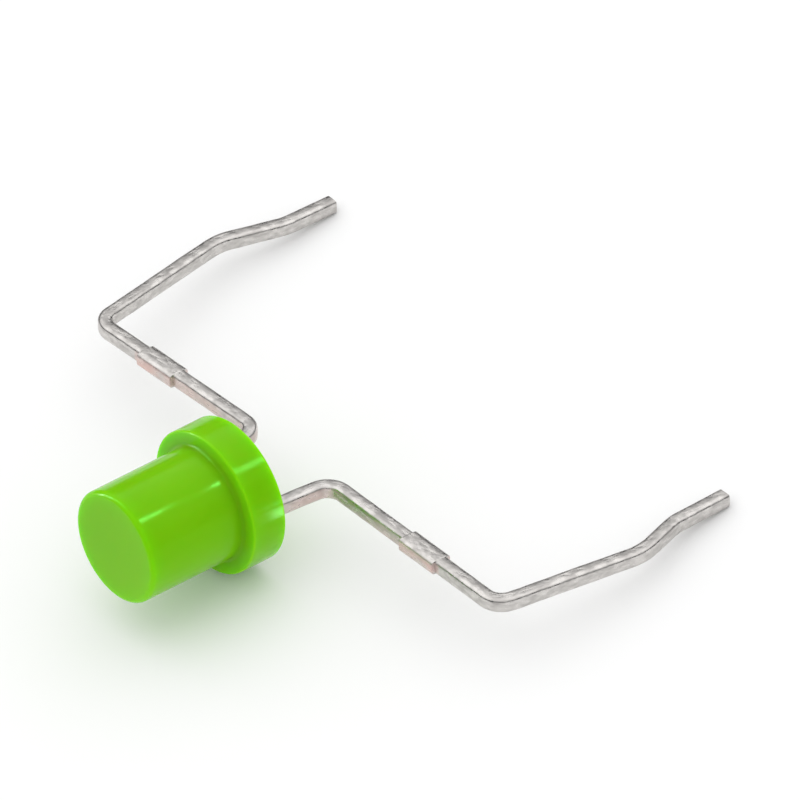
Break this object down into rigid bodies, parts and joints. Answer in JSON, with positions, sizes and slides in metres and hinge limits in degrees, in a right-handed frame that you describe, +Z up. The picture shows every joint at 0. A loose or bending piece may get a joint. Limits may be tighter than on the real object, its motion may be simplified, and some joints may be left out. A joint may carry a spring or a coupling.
{
  "type": "led indicator lamp",
  "caption": "Small flat-topped round indicator lamp in diffused green epoxy, with a flange at its base and two square leads formed outward, then back, to cut ends.",
  "frame": {"origin": "middle of the footprint's bounding box, on the table the lamp lies on", "axes": "+X from the anode lead to the cathode lead, +Y from the lens back toward the cut ends, +Z up; the lamp's own axis is tilted 10.6 degrees, lens up"},
  "size_m": [0.0172, 0.0134, 0.004],
  "materials": {
    "lens_epoxy": "gloss",
    "tinned_steel": "satin",
    "die": "satin",
    "silver_epoxy": "matte",
    "gold_wire": "gloss"
  },
  "bodies": {
    "root": {"lens_body": "lens_epoxy", "cathode_lead": "tinned_steel", "anode_lead": "tinned_steel", "led_die": "die", "die_attach": "silver_epoxy", "bond_wire": "gold_wire"}
  },
  "joints": []
}
